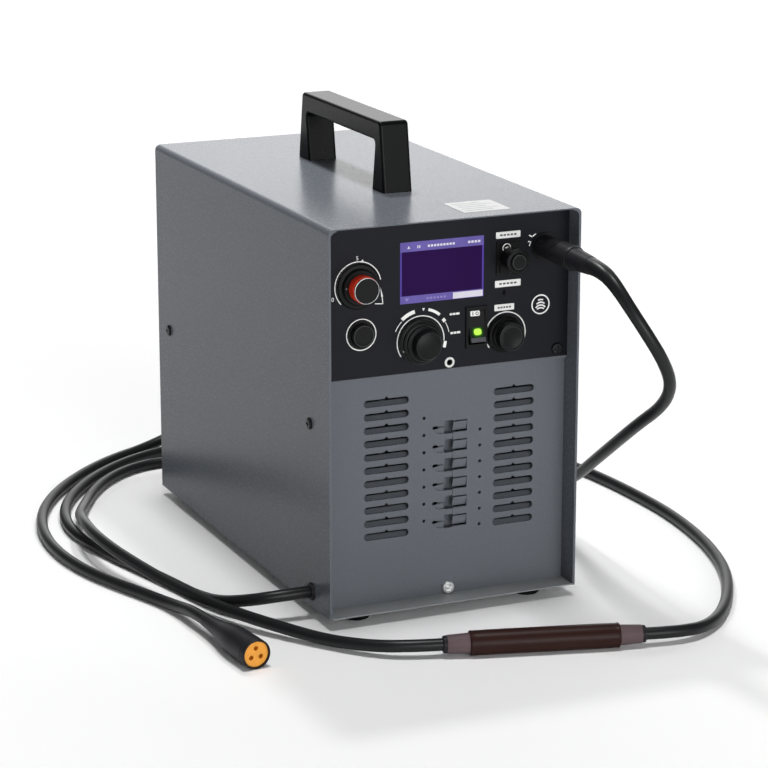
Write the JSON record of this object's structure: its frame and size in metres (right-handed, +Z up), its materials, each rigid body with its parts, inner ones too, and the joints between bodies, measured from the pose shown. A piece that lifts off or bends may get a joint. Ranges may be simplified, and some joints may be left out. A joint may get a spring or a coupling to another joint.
{
  "type": "mig welder",
  "caption": "Box-shaped wire-fed arc welder with a carry handle, recessed control panel, louvred front, hinged wire door, torch lead with an inline joint and a supply lead.",
  "frame": {"origin": "on the floor under the middle of the casing", "axes": "+Z up, front panel faces -Y, +X to the right seen from the front"},
  "size_m": [0.5464, 0.6909, 0.386],
  "materials": {
    "casing_grey": "powder coat, fine texture",
    "fascia_black": "satin moulded",
    "handle_black": "moulded, fine grain",
    "foot_rubber": "moulded",
    "knob_black": "satin moulded",
    "button_black": "satin moulded",
    "collar_red": "moulded",
    "screen_violet": "backlit screen under glass",
    "lens_green": "lit lens",
    "jack_white": "moulded",
    "screw_dark": "black oxide",
    "screw_bright": "zinc plated",
    "inner_steel": "zinc coat",
    "feeder_alloy": "cast",
    "motor_dark": "enamel",
    "spool_plastic": "moulded",
    "wire_copper": "drawn wire, copper coat",
    "board_green": "lacquered board",
    "sink_alloy": "extruded",
    "core_dark": "varnished",
    "can_blue": "sleeved",
    "pot_metal": "plated",
    "valve_brass": "turned",
    "socket_black": "moulded",
    "plug_black": "moulded",
    "lead_black": "extruded jacket",
    "joint_brown": "ribbed grip",
    "sleeve_mauve": "moulded",
    "insert_yellow": "moulded"
  },
  "bodies": {
    "case": {"wrap_cover": "casing_grey", "front_grille": "casing_grey", "rear_panel": "casing_grey", "base_tray": "casing_grey", "control_fascia": "fascia_black", "carry_handle": "handle_black", "rubber_feet": "foot_rubber", "collar_knob_base": "knob_black", "spool_nut": "knob_black", "mode_button_housing": "button_black", "inch_plate": "button_black", "rocker_frame": "button_black", "display_panel": "screen_violet", "jack_socket": "jack_white", "panel_screws": "screw_dark", "m5_screws": "screw_dark", "grille_screw": "screw_bright", "door_hinges": "screw_bright", "tension_spring": "screw_bright", "centre_divider": "inner_steel", "feed_bracket": "feeder_alloy", "feed_motor": "motor_dark", "fan_frame": "motor_dark", "spool_hub": "spool_plastic", "power_board": "board_green", "control_board": "board_green", "heat_sink": "sink_alloy", "transformer": "core_dark", "capacitors": "can_blue", "potentiometers": "pot_metal", "gas_valve": "valve_brass", "torch_socket": "socket_black", "torch_plug": "plug_black", "torch_relief": "plug_black", "side_gland": "plug_black", "rear_gland": "plug_black", "connector_body": "plug_black", "torch_lead": "lead_black", "side_lead": "lead_black", "supply_lead": "lead_black", "joint_body": "joint_brown", "joint_sleeves": "sleeve_mauve", "connector_insert": "insert_yellow"},
    "collar_knob": {"red_collar": "collar_red", "collar_knob_cap": "knob_black"},
    "current_knob": {"current_knob": "knob_black"},
    "voltage_knob": {"voltage_knob": "knob_black"},
    "mode_button": {"mode_button": "button_black"},
    "inch_button": {"inch_button": "button_black"},
    "power_rocker": {"power_rocker": "button_black", "rocker_lens": "lens_green"},
    "wire_door": {"wire_door": "casing_grey"},
    "door_latch": {"door_latch": "knob_black"},
    "spool": {"wire_spool": "spool_plastic", "wire_winding": "wire_copper"},
    "drive_roller": {"drive_roller": "screw_bright"},
    "pressure_arm": {"pressure_arm": "feeder_alloy"},
    "pressure_roller": {"pressure_roller": "screw_bright"},
    "tension_knob": {"tension_knob": "knob_black"},
    "fan_rotor": {"fan_rotor": "motor_dark"}
  },
  "joints": [
    {"name": "collar_knob_turn", "type": "hinge", "parent": "case", "child": "collar_knob", "pos_m": [-0.0783, -0.184, 0.2774], "axis": [0, -1, 0], "range_deg": [-140, 140]},
    {"name": "current_knob_turn", "type": "hinge", "parent": "case", "child": "current_knob", "pos_m": [-0.0246, -0.184, 0.2274], "axis": [0, -1, 0], "range_deg": [-140, 140]},
    {"name": "voltage_knob_turn", "type": "hinge", "parent": "case", "child": "voltage_knob", "pos_m": [0.0506, -0.184, 0.226], "axis": [0, -1, 0], "range_deg": [-140, 140]},
    {"name": "mode_button_press", "type": "slide", "parent": "case", "child": "mode_button", "axis": [0, 1, 0], "range_m": [0, 0.0025], "stiffness_N_per_m": 400},
    {"name": "inch_button_press", "type": "slide", "parent": "case", "child": "inch_button", "axis": [0, 1, 0], "range_m": [0, 0.003], "stiffness_N_per_m": 400},
    {"name": "power_rocker_tip", "type": "hinge", "parent": "case", "child": "power_rocker", "pos_m": [0.0253, -0.181, 0.2341], "axis": [1, 0, 0], "range_deg": [0, 22]},
    {"name": "door_swing", "type": "hinge", "parent": "case", "child": "wire_door", "pos_m": [0.113, 0.176, 0.19], "axis": [0, 0, 1], "range_deg": [0, 105]},
    {"name": "latch_turn", "type": "hinge", "parent": "wire_door", "child": "door_latch", "pos_m": [0.11, -0.044, 0.19], "axis": [1, 0, 0], "range_deg": [0, 90]},
    {"name": "spool_turn", "type": "hinge", "parent": "case", "child": "spool", "pos_m": [0.071, 0.065, 0.19], "axis": [1, 0, 0], "continuous": true},
    {"name": "drive_turn", "type": "hinge", "parent": "case", "child": "drive_roller", "pos_m": [0.0854, -0.095, 0.3085], "axis": [1, 0, 0], "continuous": true},
    {"name": "arm_swing", "type": "hinge", "parent": "case", "child": "pressure_arm", "pos_m": [0.078, -0.128, 0.268], "axis": [-1, 0, 0], "range_deg": [0, 8], "stiffness_Nm_per_rad": 2, "springref_deg": -5.73, "deforming": ["tension_spring"]},
    {"name": "press_roller_turn", "type": "hinge", "parent": "pressure_arm", "child": "pressure_roller", "pos_m": [0.0854, -0.095, 0.284], "axis": [1, 0, 0], "continuous": true},
    {"name": "tension_turn", "type": "hinge", "parent": "case", "child": "tension_knob", "pos_m": [0.083, -0.059, 0.233], "axis": [0, 0, 1], "range_deg": [-180, 180]},
    {"name": "fan_turn", "type": "hinge", "parent": "case", "child": "fan_rotor", "pos_m": [-0.055, 0.165, 0.12], "axis": [0, 1, 0], "continuous": true}
  ],
  "couplings": [
    {"joint": "press_roller_turn", "follows": "drive_turn", "ratio": -1.1364}
  ]
}
